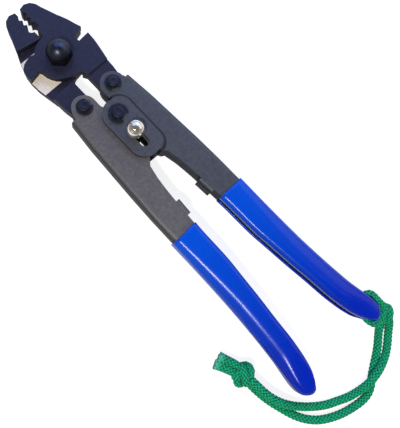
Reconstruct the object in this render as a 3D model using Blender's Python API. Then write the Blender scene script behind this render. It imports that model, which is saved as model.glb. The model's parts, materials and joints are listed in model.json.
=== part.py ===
"""Compound-action hand crimping pliers with a slide lock, an opening spring and a wrist cord.

The origin is the jaw pivot's axis, on the back face of the pivot bolt's head. +X runs along
the handles, +Y towards the front handle, +Z out of the front face. Sizes below are in
millimetres and are turned into metres where a mesh or an object is made.
"""

from math import asin, atan2, ceil, cos, degrees, hypot, pi, radians, sin, sqrt

import bmesh
import bpy
from mathutils import Matrix, Vector

MM = 0.001

# Linkage: jaw pivot, jaw arm to handle pivot and handle pivot
JAW_PIVOT = (0.0, 0.0)
ARM_PIVOT = (29.92, 10.14)
HANDLE_PIVOT = (44.5, 0.0)
HANDLE_CLOSING = 11.6

# Running and seating clearances
PIN_CLEARANCE = 0.09
OPEN_PIVOT_CLEARANCE = 0.25
SEAT_GAP = 0.3
CUTTER_REACH = 30.0

# Jaws
HEAD_HALF = 5.0
LAP_GAP = 0.15
ARM_HALF = 3.6
DISC_RADIUS = 12.9
JAW_EDGE = 0.35
NOSE_REACH = 32.0
MOUTH_GAP = 0.15
MOUTH_START = DISC_RADIUS + 0.3
CRIMP_NOTCHES = ((28.3, 3.1, 1.4), (24.9, 3.1, 1.4), (20.5, 5.2, 2.2))
ARM_END_RADIUS = 6.2
FACE_STEP = 17.5
BACK_STEP_LEAD = 1.0
LAP_WALL_NOSE = ((-DISC_RADIUS - 0.4, 2.0), (-16.0, 17.0))
LAP_WALL_ARM = ((DISC_RADIUS + 1.5, 4.0), (15.2, 18.0))
DISC_EDGE = (180.5, 229.0)
ARM_ROOT = ((13.8, 2.4), (16.8, 4.24), (24.0, 4.24))
TONGUE_CLEARANCE = 4.0
ARM_BACK = ((27.4, 17.0), (22.3, 17.7), (17.0, 17.9), (10.5, 19.1), (5.7, 19.9))
HEAD_BACK = ((0.1, 20.1), (-4.6, 19.6))
NOSE_BACK = (
    (-8.0, 18.3),
    (-12.0, 17.0),
    (-16.0, 15.2),
    (-17.8, 14.3),
    (-21.9, 12.7),
    (-26.0, 11.0),
    (-29.2, 10.0),
    (-31.5, 8.2),
    (-32.8, 5.0),
)
CUTTER_SLOT = ((-4.6, 19.6), (-2.8, 12.9), (0.6, 13.3), (0.1, 20.2))
FRONT_TONGUE = ((-9.4, -12.2), (-7.9, -17.0), (-5.8, -19.6), (-2.5, -20.4), (0.8, -20.3), (-0.5, -13.6))
REAR_TONGUE = ((-9.4, -12.2), (-7.9, -17.0), (-6.6, -18.8), (-5.1, -19.7), (-3.2, -13.2))

# Pivot bolt and acorn nut
BOLT_RADIUS = 4.0
BOLT_HEAD_FLATS = 12.0
BOLT_HEAD_HEIGHT = 5.3
BOLT_CHAMFER = 1.15
NUT_FLATS = 12.0
NUT_HEX_HEIGHT = 3.4
NUT_DOME_HEIGHT = 7.4
NUT_TURN = 45.0
NUT_BORE_DEPTH = 8.0

# Pressed channel handles
SHEET = 2.3
SHEET_GAP = 0.4
BEND_RADII = ((113.0, 2.7), (160.0, 5.2), (195.0, 5.2), (209.0, 3.2))
LOBE_RADIUS = 6.9
LOBE_NECK = ((34.6, 3.3), (29.6, ARM_PIVOT[1] - LOBE_RADIUS))
LOBE_CORNER_X = 30.6
OUTER_EDGE = (
    (31.2, 20.3),
    (47.0, 21.9),
    (68.0, 23.2),
    (90.0, 24.4),
    (111.0, 24.8),
    (134.0, 25.3),
    (157.0, 26.2),
    (178.0, 27.6),
    (195.0, 29.3),
    (206.0, 30.9),
    (212.0, 31.5),
    (216.0, 31.0),
    (218.4, 28.8),
)
INNER_EDGE = (
    (75.5, 6.3),
    (85.0, 8.2),
    (98.0, 9.4),
    (113.0, 10.3),
    (120.0, 10.7),
    (137.7, 11.1),
    (149.3, 12.1),
    (165.4, 13.6),
    (178.8, 15.1),
    (191.4, 16.3),
    (199.8, 17.6),
    (205.0, 18.7),
    (210.5, 20.4),
    (215.0, 22.9),
)
PAD_RADIUS = 8.5
PAD_END = 63.8
PAD_CREASE_HEIGHT = 11.4
PAD_CREASE_RADIUS = 8.3
PAD_CREASE_START = HANDLE_PIVOT[0] - 1.9
PAD_CREASE_END = PAD_END + 2.5
PAD_CREASE_TURN = (172.0, 10.0)
PAD_RIM_TURN = (162.0, 362.0)
JOGGLE_WIDTH = 2.0
LUG_RADIUS = 8.1
LUG_TURN = (-60.0, -198.0)
LUG_EDGE = ((70.4, 1.8), (68.0, -2.6), (65.8, -3.5), (59.5, -3.9), (53.5, -6.6))
TAB_START = 98.3
TAB_END = 107.6
TAB_REACH = 2.6
TAB_BEND_RADIUS = 2.45
TAB_HALF_GAP = 1.2

# Pins, clips, spacer and spring
ARM_PIN_RADIUS = 2.9
HANDLE_PIN_RADIUS = 3.2
ARM_CLIP_RADIUS = 4.5
HANDLE_CLIP_RADIUS = 5.4
CLIP_THICKNESS = 0.9
GROOVE_DEPTH = 0.6
PIN_STUB = 2.4
ARM_PIN_HEAD_RADIUS = 4.4
ARM_PIN_HEAD_HEIGHT = 1.6
HANDLE_PIN_HEAD_RADIUS = 5.2
HANDLE_PIN_HEAD_HEIGHT = 1.1
SLEEVE_WALL = 1.2
SPRING_WIRE = 1.4
SPRING_TURNS = 4
SPRING_PITCH = 1.55
SPRING_LEG_ANGLE = 36.0
SPRING_LEG_REACH = 24.0

# Slide lock
LOCK_REST = 12.5
LOCK_TRAVEL = 7.5
LOCK_SHANK_RADIUS = 2.3
LOCK_STEM_RADIUS = 1.7
LOCK_CLEARANCE = 0.2
BALL_RADIUS = 4.9
BALL_SEAT_DEPTH = 3.8
RETAINER_RADIUS = 4.2
RETAINER_HEIGHT = 1.1

# Dipped grips
GRIP_START = 113.0
GRIP_WALL = 0.75
GRIP_GAP = 0.25
GRIP_LIP = 1.4
TIP_TURNS = (20, 40, 60, 80)

# Wrist cord, laid on the surface that the pliers lie on
CORD_RADIUS = 2.2
CORD_HOLE_RADIUS = 2.8
CORD_HOLE_X = 207.2
CORD_HOLE_SPAN = (26.0, 40.0)
CORD_LOOP = (
    (220.5, 35.3, 8.8),
    (218.8, 35.6, 9.6),
    (216.3, 35.3, 10.2),
    (213.2, 35.2, 10.5),
    (210.4, 35.1, 10.6),
    (208.2, 33.9, 10.6),
    (207.3, 31.2, 10.6),
    (207.5, 28.3, 10.6),
    (208.9, 25.8, 10.6),
    (211.5, 24.3, 10.6),
    (214.6, 23.7, 10.6),
    (217.9, 23.6, 10.6),
    (220.9, 24.5, 10.6),
    (222.8, 25.9, 9.7),
    (223.2, 27.3, 8.3),
)
CORD_INNER = (
    (227.5, 27.5, 4.9),
    (229.3, 25.7, 3.5),
    (231.5, 23.6, 2.4),
    (234.2, 20.2, 2.3),
    (237.2, 15.6, 2.3),
    (239.8, 10.9, 2.3),
    (242.6, 6.1, 2.3),
    (245.6, 1.8, 2.3),
    (247.5, -2.2, 2.3),
    (248.0, -6.8, 2.3),
    (247.1, -12.0, 2.3),
    (245.6, -17.2, 2.3),
    (243.5, -22.5, 2.3),
    (240.5, -27.9, 2.3),
    (236.7, -33.0, 2.3),
    (232.0, -37.1, 2.3),
    (227.0, -40.0, 2.3),
    (221.9, -42.0, 2.3),
    (216.2, -43.6, 2.3),
    (210.6, -45.0, 2.3),
    (205.4, -45.9, 2.4),
    (200.0, -46.4, 2.7),
    (195.7, -46.5, 3.1),
)
CORD_OUTER = (
    (230.4, 32.8, 4.9),
    (232.6, 31.0, 3.4),
    (235.3, 28.1, 2.5),
    (238.6, 23.4, 2.7),
    (240.5, 17.9, 4.7),
    (241.6, 11.2, 6.7),
    (242.2, 5.1, 7.2),
    (242.7, -0.6, 5.8),
    (242.5, -5.9, 3.5),
    (240.9, -12.1, 2.4),
    (237.8, -18.2, 2.3),
    (234.2, -24.5, 2.3),
    (229.9, -29.8, 2.5),
    (224.7, -34.6, 3.6),
    (219.3, -38.6, 5.2),
    (213.6, -41.7, 6.8),
    (208.1, -43.6, 7.4),
    (202.9, -44.5, 7.8),
    (195.5, -44.9, 8.3),
)
HITCH_CENTRE = (224.3, 33.7)
HITCH_RADII = (4.4, 7.0, 5.6)
KNOT_CENTRE = (188.8, -45.7)
KNOT_RADII = (6.2, 6.8, 5.9)
TAIL_UPPER = ((181.8, -44.3, 4.6), (177.6, -45.6, 3.8), (173.2, -47.0, 3.5))
TAIL_LOWER = ((182.9, -49.3, 4.4), (178.5, -51.4, 3.7), (174.1, -53.5, 3.5))
TAIL_FLARE = 1.35
LOOP_POINTS = 24
STRAND_POINTS = 28

# Values worked out from the sizes above
MID_HEIGHT = BOLT_HEAD_HEIGHT + SEAT_GAP + HEAD_HALF
SHEET_INNER = ARM_HALF + SHEET_GAP
SHEET_OUTER = SHEET_INNER + SHEET
PAD_OUTER = SHEET_OUTER + SEAT_GAP + SHEET
ARM_LENGTH = hypot(*ARM_PIVOT)
HANDLE_ARM = hypot(HANDLE_PIVOT[0] - ARM_PIVOT[0], ARM_PIVOT[1])
HALF_CLOSING = radians(HANDLE_CLOSING) / 2
ARM_ANGLE = atan2(ARM_PIVOT[1], ARM_PIVOT[0])
HANDLE_ANGLE = atan2(ARM_PIVOT[1], HANDLE_PIVOT[0] - ARM_PIVOT[0])
CLOSED_ARM_ANGLE = asin(HANDLE_ARM * sin(HANDLE_ANGLE + HALF_CLOSING) / ARM_LENGTH)
MOUTH_HALF_ANGLE = CLOSED_ARM_ANGLE - ARM_ANGLE
ARC_STEP = 14.0
BEND_TURNS = (0, 30, 60, 90)
ROUND_SEGMENTS = 28


def clear_scene():
    for obj in list(bpy.data.objects):
        bpy.data.objects.remove(obj, do_unlink=True)


def make_material(name, colour, roughness, metallic):
    material = bpy.data.materials.new(name)
    material.use_nodes = True
    shader = material.node_tree.nodes["Principled BSDF"]
    shader.inputs["Base Color"].default_value = (*colour, 1.0)
    shader.inputs["Roughness"].default_value = roughness
    shader.inputs["Metallic"].default_value = metallic
    return material


def make_object(name, mesh_builder, material, origin=(0.0, 0.0, 0.0)):
    """Turns a bmesh in millimetres into an object whose origin is at the given point."""
    offset = Vector(origin)
    bmesh.ops.translate(mesh_builder, vec=-offset, verts=mesh_builder.verts)
    bmesh.ops.scale(mesh_builder, vec=(MM, MM, MM), verts=mesh_builder.verts)
    mesh = bpy.data.meshes.new(name)
    mesh_builder.to_mesh(mesh)
    mesh_builder.free()
    obj = bpy.data.objects.new(name, mesh)
    obj.location = offset * MM
    bpy.context.scene.collection.objects.link(obj)
    if material is not None:
        mesh.materials.append(material)
    return obj


def shade(obj, angle=32.0):
    obj.data.shade_smooth()
    obj.data.set_sharp_from_angle(angle=radians(angle))
    return obj


def make_cutter(name, mesh_builder, origin=(0.0, 0.0, 0.0)):
    cutter = make_object(name, mesh_builder, None, origin)
    cutter.hide_render = True
    cutter.display_type = "WIRE"
    return cutter


def cut(obj, cutter):
    step = obj.modifiers.new("cut_" + cutter.name, "BOOLEAN")
    step.operation = "DIFFERENCE"
    step.solver = "EXACT"
    step.object = cutter


def break_edges(obj, width, segments=1, angle=40.0):
    """Takes the sharp corner off every edge."""
    step = obj.modifiers.new("broken_edges", "BEVEL")
    step.width = width * MM
    step.segments = segments
    step.limit_method = "ANGLE"
    step.angle_limit = radians(angle)
    step.use_clamp_overlap = True


def arc(centre, radius, start, end, step=ARC_STEP):
    """Points on a circle from one angle to another, in degrees."""
    count = max(2, ceil(abs(end - start) / step))
    turns = [radians(start + (end - start) * index / count) for index in range(count + 1)]
    return [(centre[0] + radius * cos(turn), centre[1] + radius * sin(turn)) for turn in turns]


def smooth_curve(points, count):
    """Reads evenly spaced points from a smooth curve through the given ones."""
    vectors = [Vector(point) for point in points]
    padded = [2 * vectors[0] - vectors[1], *vectors, 2 * vectors[-1] - vectors[-2]]
    fine = []
    for before, start, end, after in zip(padded, padded[1:], padded[2:], padded[3:]):
        for index in range(12):
            t = index / 12
            fine.append(
                0.5
                * (
                    2 * start
                    + (end - before) * t
                    + (2 * before - 5 * start + 4 * end - after) * t * t
                    + (3 * start - before - 3 * end + after) * t * t * t
                )
            )
    fine.append(vectors[-1])
    lengths = [0.0]
    for start, end in zip(fine, fine[1:]):
        lengths.append(lengths[-1] + (end - start).length)
    result = []
    place = 0
    for index in range(count):
        wanted = lengths[-1] * index / (count - 1)
        while place < len(fine) - 2 and lengths[place + 1] < wanted:
            place += 1
        share = (wanted - lengths[place]) / (lengths[place + 1] - lengths[place])
        result.append(fine[place].lerp(fine[place + 1], min(1.0, share)))
    return result


def prism(outline, low, high):
    """A straight extrusion of an outline between two heights above the mid-plane."""
    builder = bmesh.new()
    corners = [builder.verts.new((x, y, MID_HEIGHT + low)) for x, y in outline]
    face = builder.faces.new(corners)
    raised = bmesh.ops.extrude_face_region(builder, geom=[face])
    moved = [item for item in raised["geom"] if isinstance(item, bmesh.types.BMVert)]
    bmesh.ops.translate(builder, vec=(0, 0, high - low), verts=moved)
    bmesh.ops.recalc_face_normals(builder, faces=builder.faces)
    return builder


def turned(profile, centre, segments=ROUND_SEGMENTS):
    """Spins a profile of (radius, height) points about an upright axis."""
    builder = bmesh.new()
    verts = [builder.verts.new((centre[0] + radius, centre[1], MID_HEIGHT + z)) for radius, z in profile]
    edges = [builder.edges.new(pair) for pair in zip(verts, verts[1:])]
    bmesh.ops.spin(
        builder,
        geom=verts + edges,
        cent=(*centre, 0.0),
        axis=(0, 0, 1),
        angle=2 * pi,
        steps=segments,
        use_merge=True,
    )
    bmesh.ops.remove_doubles(builder, verts=builder.verts, dist=0.001)
    bmesh.ops.dissolve_degenerate(builder, edges=builder.edges, dist=0.0001)
    bmesh.ops.recalc_face_normals(builder, faces=builder.faces)
    return builder


def hole(centre, radius, low=-CUTTER_REACH, high=CUTTER_REACH):
    return turned([(0, low), (radius, low), (radius, high), (0, high)], centre)


def slot_outline(start, end, radius):
    """Outline of a straight slot with round ends."""
    turn = degrees(atan2(end[1] - start[1], end[0] - start[0]))
    return arc(end, radius, turn - 90, turn + 90) + arc(start, radius, turn + 90, turn + 270)


def turn_over(builder):
    """Turns a shape of the front side over about the X axis, for its partner at the back."""
    centre = Vector((0, 0, MID_HEIGHT))
    bmesh.ops.rotate(builder, cent=centre, matrix=Matrix.Rotation(pi, 3, "X"), verts=builder.verts)
    return builder


def from_handle_pivot(distance, angle=0.0):
    return (
        HANDLE_PIVOT[0] + distance * cos(radians(angle)),
        HANDLE_PIVOT[1] + distance * sin(radians(angle)),
    )


def mirror_point(point):
    return (point[0], -point[1])


def mouth_edge():
    """Working edge of a jaw, from the tip to the pivot, with a half-oval notch for each sleeve size."""
    along = Vector((-cos(MOUTH_HALF_ANGLE), sin(MOUTH_HALF_ANGLE)))
    across = Vector((sin(MOUTH_HALF_ANGLE), cos(MOUTH_HALF_ANGLE)))
    edge = [along * NOSE_REACH + across * MOUTH_GAP]
    for distance, width, depth in CRIMP_NOTCHES:
        for index in range(9):
            turn = pi * index / 8
            reach = distance + width / 2 * cos(turn)
            edge.append(along * reach + across * (MOUTH_GAP + depth * sin(turn)))
    edge.append(along * MOUTH_START + across * MOUTH_GAP)
    return [tuple(point) for point in edge]


def jaw_outline(tongue, slot):
    """Outline of the front jaw's blank, counter-clockwise from the inner end of the mouth."""
    tongue_turn = degrees(atan2(tongue[-1][1], tongue[-1][0]))
    outline = arc(JAW_PIVOT, DISC_RADIUS, *DISC_EDGE)
    outline += tongue
    outline += arc(JAW_PIVOT, DISC_RADIUS, tongue_turn + TONGUE_CLEARANCE, 0)
    outline += ARM_ROOT
    outline += arc(ARM_PIVOT, ARM_END_RADIUS, -90, 90)
    outline += ARM_BACK
    outline += CUTTER_SLOT[::-1] if slot else HEAD_BACK
    outline += NOSE_BACK
    outline += mouth_edge()
    return outline


def make_jaw(name, material, tongue, slot, arm_hole, turned_over):
    """One lapped jaw: full depth at the nose, half depth round the pivot, a thinner arm behind."""
    place = turn_over if turned_over else lambda builder: builder
    pivot = (*JAW_PIVOT, MID_HEIGHT)
    jaw = make_object(name, place(prism(jaw_outline(tongue, slot), -HEAD_HALF, HEAD_HALF)), material, pivot)
    lap = [
        (LAP_WALL_NOSE[0][0], -CUTTER_REACH),
        (LAP_WALL_ARM[0][0], -CUTTER_REACH),
        LAP_WALL_ARM[0],
        LAP_WALL_ARM[1],
        (LAP_WALL_ARM[1][0], CUTTER_REACH),
        (LAP_WALL_NOSE[1][0], CUTTER_REACH),
        LAP_WALL_NOSE[1],
        LAP_WALL_NOSE[0],
    ]
    cut(jaw, make_cutter(name + "_lap_cutter", place(prism(lap, -CUTTER_REACH, LAP_GAP))))
    behind = 2 * CUTTER_REACH
    front_step = [(FACE_STEP, -behind), (behind, -behind), (behind, behind), (FACE_STEP, behind)]
    cut(jaw, make_cutter(name + "_front_step_cutter", place(prism(front_step, ARM_HALF, CUTTER_REACH))))
    back_x = LAP_WALL_ARM[0][0] - BACK_STEP_LEAD
    back_step = [(back_x, -behind), (behind, -behind), (behind, behind), (back_x, behind)]
    cut(jaw, make_cutter(name + "_back_step_cutter", place(prism(back_step, -CUTTER_REACH, -ARM_HALF))))
    cut(jaw, make_cutter(name + "_pivot_cutter", hole(JAW_PIVOT, BOLT_RADIUS + PIN_CLEARANCE)))
    cut(jaw, make_cutter(name + "_arm_cutter", place(hole(ARM_PIVOT, arm_hole))))
    break_edges(jaw, JAW_EDGE)
    return shade(jaw)


def hexagon(centre, flats, turn=0.0):
    radius = flats / sqrt(3)
    angles = [radians(60 * index + turn) for index in range(6)]
    return [(centre[0] + radius * cos(angle), centre[1] + radius * sin(angle)) for angle in angles]


def join_mesh(obj, name, builder, centre):
    """Joins a second shape to an object."""
    other = make_cutter(name, builder, (*centre, MID_HEIGHT))
    step = obj.modifiers.new("join_" + name, "BOOLEAN")
    step.operation = "UNION"
    step.solver = "EXACT"
    step.object = other


def make_pivot_bolt(material):
    """Hexagon-headed pivot bolt, put in from the back, with its shank up into the acorn nut."""
    seat = -HEAD_HALF - SEAT_GAP
    floor = seat - BOLT_HEAD_HEIGHT
    top = HEAD_HALF + SEAT_GAP + NUT_BORE_DEPTH - 1.0
    head = prism(hexagon(JAW_PIVOT, BOLT_HEAD_FLATS), floor, seat)
    bolt = make_object("pivot_bolt", head, material, (*JAW_PIVOT, MID_HEIGHT))
    flat = BOLT_HEAD_FLATS / 2
    corner = BOLT_HEAD_FLATS / sqrt(3) + 1
    ring = [(flat, floor), (flat, floor - 2), (corner, floor - 2), (corner, floor + BOLT_CHAMFER)]
    cut(bolt, make_cutter("pivot_bolt_chamfer", turned([*ring, ring[0]], JAW_PIVOT)))
    shank = [(0, seat - 1), (BOLT_RADIUS, seat - 1), (BOLT_RADIUS, top - 0.8), (BOLT_RADIUS - 0.8, top), (0, top)]
    join_mesh(bolt, "pivot_bolt_shank", turned(shank, JAW_PIVOT), JAW_PIVOT)
    return shade(bolt)


def make_acorn_nut(material):
    """Closed nut whose crown is one dome over the whole hexagon."""
    low = HEAD_HALF + SEAT_GAP
    high = low + NUT_HEX_HEIGHT
    top = high + NUT_DOME_HEIGHT
    radius = NUT_FLATS / sqrt(3)
    body = prism(hexagon(JAW_PIVOT, NUT_FLATS, NUT_TURN), low, top + 1)
    nut = make_object("acorn_nut", body, material, (*JAW_PIVOT, MID_HEIGHT))
    crown = [(0, low - 1), (radius, low - 1)]
    for index in range(9):
        turn = radians(90 * index / 9)
        crown.append((radius * cos(turn), high + NUT_DOME_HEIGHT * sin(turn)))
    crown.append((0, top))
    dome = make_cutter("acorn_nut_dome", turned(crown, JAW_PIVOT), (*JAW_PIVOT, MID_HEIGHT))
    step = nut.modifiers.new("dome", "BOOLEAN")
    step.operation = "INTERSECT"
    step.solver = "EXACT"
    step.object = dome
    bore = hole(JAW_PIVOT, BOLT_RADIUS + PIN_CLEARANCE, low - 1, low + NUT_BORE_DEPTH)
    cut(nut, make_cutter("acorn_nut_bore", bore))
    return shade(nut)


def bend_radius(x):
    """Radius of the outer bend at a place along the handle: tight at the head, fuller in the hand."""
    if x <= BEND_RADII[0][0]:
        return BEND_RADII[0][1]
    for (start, low), (end, high) in zip(BEND_RADII, BEND_RADII[1:]):
        if x <= end:
            return low + (high - low) * (x - start) / (end - start)
    return BEND_RADII[-1][1]


def outer_path():
    """Outer edge of a handle, from the head to the tail's tip, as points with normals and bends."""
    points = smooth_curve(OUTER_EDGE[:9], 11)[:-1] + smooth_curve(OUTER_EDGE[8:], 7)
    path = []
    for index, point in enumerate(points):
        before = points[max(index - 1, 0)]
        after = points[min(index + 1, len(points) - 1)]
        along = (after - before).normalized()
        path.append((point, Vector((-along.y, along.x)), bend_radius(point.x)))
    return path


def crease_points(inset):
    """Crease round the raised pad, from its head end to its tail end, moved in by an inset."""
    low = PAD_CREASE_HEIGHT - PAD_CREASE_RADIUS
    radius = PAD_CREASE_RADIUS - inset
    start = arc((PAD_CREASE_START, low), radius, PAD_CREASE_TURN[0], 90)
    end = arc((PAD_CREASE_END, low), radius, 90, PAD_CREASE_TURN[1])
    return start + end


def add_strip(builder, first, second):
    """Joins two rows of vertices by quads."""
    faces = []
    for a, b, c, d in zip(first, first[1:], second[1:], second):
        faces.append(builder.faces.new((a, b, c, d)))
    return faces


def bend_row(path, height, turn):
    """A row of points part of the way round the outer bend, by the angle that the bend has turned."""
    row = []
    for point, normal, radius in path:
        place = point - normal * radius * (1 - sin(turn))
        row.append((place.x, place.y, height - radius * (1 - cos(turn))))
    return row


def inner_edge(start, end, count):
    """Points of the handle's inner edge between two places along it, towards the tail."""
    curve = smooth_curve(INNER_EDGE, 80)
    points = []
    for index in range(count):
        x = start + (end - start) * index / (count - 1)
        place = max(spot for spot in range(len(curve) - 1) if curve[spot].x <= x)
        before = curve[place]
        after = curve[place + 1]
        share = (x - before.x) / (after.x - before.x)
        points.append((x, before.y + share * (after.y - before.y)))
    return points


def tail_edge():
    """The inner edge from the stop tab to the tail's tip."""
    return inner_edge(TAB_END, INNER_EDGE[-1][0], 13)


def handle_skin(pad):
    """Outside surface of half a handle: the flat side with its lug, the outer bend and the web.

    With a pad the lug is joggled outwards, over the other handle's lug, which lies level.
    """
    builder = bmesh.new()
    path = outer_path()
    height = SHEET_OUTER
    raise_by = PAD_OUTER - SHEET_OUTER

    def row(points, z):
        return [builder.verts.new((x, y, MID_HEIGHT + z)) for x, y in points]

    rows = []
    for turn in BEND_TURNS:
        points = bend_row(path, height, radians(turn))
        rows.append([builder.verts.new((x, y, MID_HEIGHT + z)) for x, y, z in points])
    flat_edge = rows[0]
    rows.append([builder.verts.new((vert.co.x, vert.co.y, MID_HEIGHT)) for vert in rows[-1]])
    for upper, lower in zip(rows, rows[1:]):
        add_strip(builder, upper, lower)

    tail_side = row(tail_edge()[::-1], height)
    head_side = row(inner_edge(INNER_EDGE[0][0], TAB_START, 4)[::-1], height)
    inner = tail_side + head_side

    corner_y = OUTER_EDGE[0][1] - BEND_RADII[0][1]
    lobe = arc(ARM_PIVOT, LOBE_RADIUS, -92, -270)[1:] + [(LOBE_CORNER_X, corner_y)]
    if pad:
        crease_low = row(crease_points(0.0)[::-1], height)
        crease_high = row(crease_points(JOGGLE_WIDTH)[::-1], height + raise_by)
        add_strip(builder, crease_low, crease_high)
        rim = arc(HANDLE_PIVOT, PAD_RADIUS, PAD_RIM_TURN[0], 270)
        rim += arc((PAD_END, 0.0), PAD_RADIUS, 270, PAD_RIM_TURN[1])
        builder.faces.new(crease_high + row(rim, height + raise_by))
        neck = crease_low + row(LOBE_NECK, height)
    else:
        lug = [*LUG_EDGE, *arc(HANDLE_PIVOT, LUG_RADIUS, *LUG_TURN), *LOBE_NECK]
        neck = row(lug, height)
    builder.faces.new(flat_edge + inner + neck + row(lobe, height))

    add_stop_tab(builder, [tail_side[-1], head_side[0]])
    bmesh.ops.recalc_face_normals(builder, faces=builder.faces)
    if sum(face.normal.z * face.calc_area() for face in builder.faces) < 0:
        bmesh.ops.reverse_faces(builder, faces=builder.faces)
    return builder


def add_stop_tab(builder, edge):
    """Bends a stop tab down from the inner edge, towards the other handle's tab."""
    previous = edge
    for turn in BEND_TURNS[1:]:
        angle = radians(turn)
        z = SHEET_OUTER - TAB_BEND_RADIUS * (1 - cos(angle))
        rows = []
        for vert in edge:
            y = vert.co.y - TAB_REACH + TAB_BEND_RADIUS * (1 - sin(angle))
            rows.append(builder.verts.new((vert.co.x, y, MID_HEIGHT + z)))
        add_strip(builder, previous, rows)
        previous = rows
    low = [builder.verts.new((vert.co.x, vert.co.y, MID_HEIGHT + TAB_HALF_GAP)) for vert in previous]
    add_strip(builder, previous, low)


def sheet_from_skin(obj, thickness):
    """Mirrors half a skin about the mid-plane and gives it the thickness of its sheet."""
    mirror = obj.modifiers.new("other_side", "MIRROR")
    mirror.use_axis = (False, False, True)
    mirror.merge_threshold = 0.00001
    wall = obj.modifiers.new("sheet", "SOLIDIFY")
    wall.thickness = thickness * MM
    wall.offset = -1.0
    wall.use_even_offset = True


def make_handle(name, material, pad, turned_over):
    """A pressed channel handle with its lobe, lug, stop tabs and web."""
    place = turn_over if turned_over else lambda builder: builder
    pivot = (*HANDLE_PIVOT, MID_HEIGHT)
    handle = make_object(name, place(handle_skin(pad)), material, pivot)
    sheet_from_skin(handle, SHEET)
    cut(handle, make_cutter(name + "_arm_cutter", place(hole(ARM_PIVOT, ARM_PIN_RADIUS + PIN_CLEARANCE))))
    cut(handle, make_cutter(name + "_pivot_cutter", hole(HANDLE_PIVOT, HANDLE_PIN_RADIUS + PIN_CLEARANCE)))
    near = LOCK_REST
    far = LOCK_REST + LOCK_TRAVEL
    if pad:
        slot = slot_outline(from_handle_pivot(near), from_handle_pivot(far), LOCK_SHANK_RADIUS + LOCK_CLEARANCE)
        cut(handle, make_cutter(name + "_lock_slot_cutter", prism(slot, -CUTTER_REACH, CUTTER_REACH)))
    else:
        room = LOCK_STEM_RADIUS + LOCK_CLEARANCE
        for label, angle in (("open", 0.0), ("closed", -HANDLE_CLOSING)):
            slot = slot_outline(from_handle_pivot(near, angle), from_handle_pivot(far, angle), room)
            cut(handle, make_cutter(f"{name}_{label}_notch_cutter", prism(slot, -CUTTER_REACH, CUTTER_REACH)))
        window = arc(HANDLE_PIVOT, near + room, 0, -HANDLE_CLOSING, 4)
        window += arc(HANDLE_PIVOT, near - room, -HANDLE_CLOSING, 0, 4)
        cut(handle, make_cutter(name + "_window_cutter", prism(window, -CUTTER_REACH, CUTTER_REACH)))
    if pad:
        cut(handle, make_cutter(name + "_cord_cutter", cord_hole()))
    return shade(handle)


def cord_hole():
    """Cutter across the tail's web, where the wrist cord passes through."""
    builder = bmesh.new()
    low, high = CORD_HOLE_SPAN
    bmesh.ops.create_cone(
        builder,
        cap_ends=True,
        segments=24,
        radius1=CORD_HOLE_RADIUS,
        radius2=CORD_HOLE_RADIUS,
        depth=high - low,
        matrix=Matrix.Translation((CORD_HOLE_X, (low + high) / 2, MID_HEIGHT))
        @ Matrix.Rotation(pi / 2, 4, "X"),
    )
    return builder


def grip_skin():
    """Outside surface of half a grip: flat side, outer bend, and a lip round the inner edge."""
    builder = bmesh.new()
    cover = GRIP_GAP + GRIP_WALL
    height = SHEET_OUTER + cover
    lip_low = SHEET_INNER - GRIP_LIP
    outer = [place for place in outer_path() if place[0].x > GRIP_START]
    first = outer[0][0].x
    flat = [(point - normal * radius, normal, radius + cover, 0.0) for point, normal, radius in outer]
    tip, last_normal, tip_radius, _ = flat[-1]
    for turn in TIP_TURNS:
        flat.append((tip, Matrix.Rotation(radians(-turn), 2) @ last_normal, tip_radius, lip_low))
    inner = [Vector(point) for point in tail_edge() if point[0] > first + 3][::-1]
    inner.append(Vector(inner_edge(first, first + 1, 2)[0]))
    for index, point in enumerate(inner):
        before = inner[max(index - 1, 0)]
        after = inner[min(index + 1, len(inner) - 1)]
        along = (after - before).normalized()
        flat.append((point, Vector((-along.y, along.x)), cover, lip_low))
    columns = []
    for point, normal, bend, end in flat:
        column = []
        for turn in BEND_TURNS:
            angle = radians(turn)
            place = point + normal * bend * sin(angle)
            column.append((place.x, place.y, height - bend * (1 - cos(angle))))
        column.append((column[-1][0], column[-1][1], end))
        columns.append([builder.verts.new((x, y, MID_HEIGHT + z)) for x, y, z in column])
    builder.faces.new([column[0] for column in columns])
    for left, right in zip(columns, columns[1:]):
        add_strip(builder, left, right)
    bmesh.ops.recalc_face_normals(builder, faces=builder.faces)
    if sum(face.normal.z * face.calc_area() for face in builder.faces) < 0:
        bmesh.ops.reverse_faces(builder, faces=builder.faces)
    return builder


def make_grip(name, material, turned_over, pierced):
    place = turn_over if turned_over else lambda builder: builder
    grip = make_object(name, place(grip_skin()), material, (*HANDLE_PIVOT, MID_HEIGHT))
    sheet_from_skin(grip, GRIP_WALL)
    if pierced:
        cut(grip, make_cutter(name + "_cord_cutter", cord_hole()))
    return shade(grip)


def make_pin(name, material, centre, radius, side, head_radius, head_height):
    """Headed pivot pin: head against the back side, groove and stub beyond the front side."""
    seat = side + SEAT_GAP
    groove = seat + CLIP_THICKNESS + 0.1
    top = groove + PIN_STUB
    profile = [
        (0, -seat - head_height),
        (head_radius - 0.5, -seat - head_height),
        (head_radius, -seat - head_height + 0.5),
        (head_radius, -seat),
        (radius, -seat),
        (radius, seat - 0.1),
        (radius - GROOVE_DEPTH, seat - 0.1),
        (radius - GROOVE_DEPTH, groove),
        (radius, groove),
        (radius, top - 0.4),
        (radius - 0.4, top),
        (0, top),
    ]
    return shade(make_object(name, turned(profile, centre), material, (*centre, MID_HEIGHT)))


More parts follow.
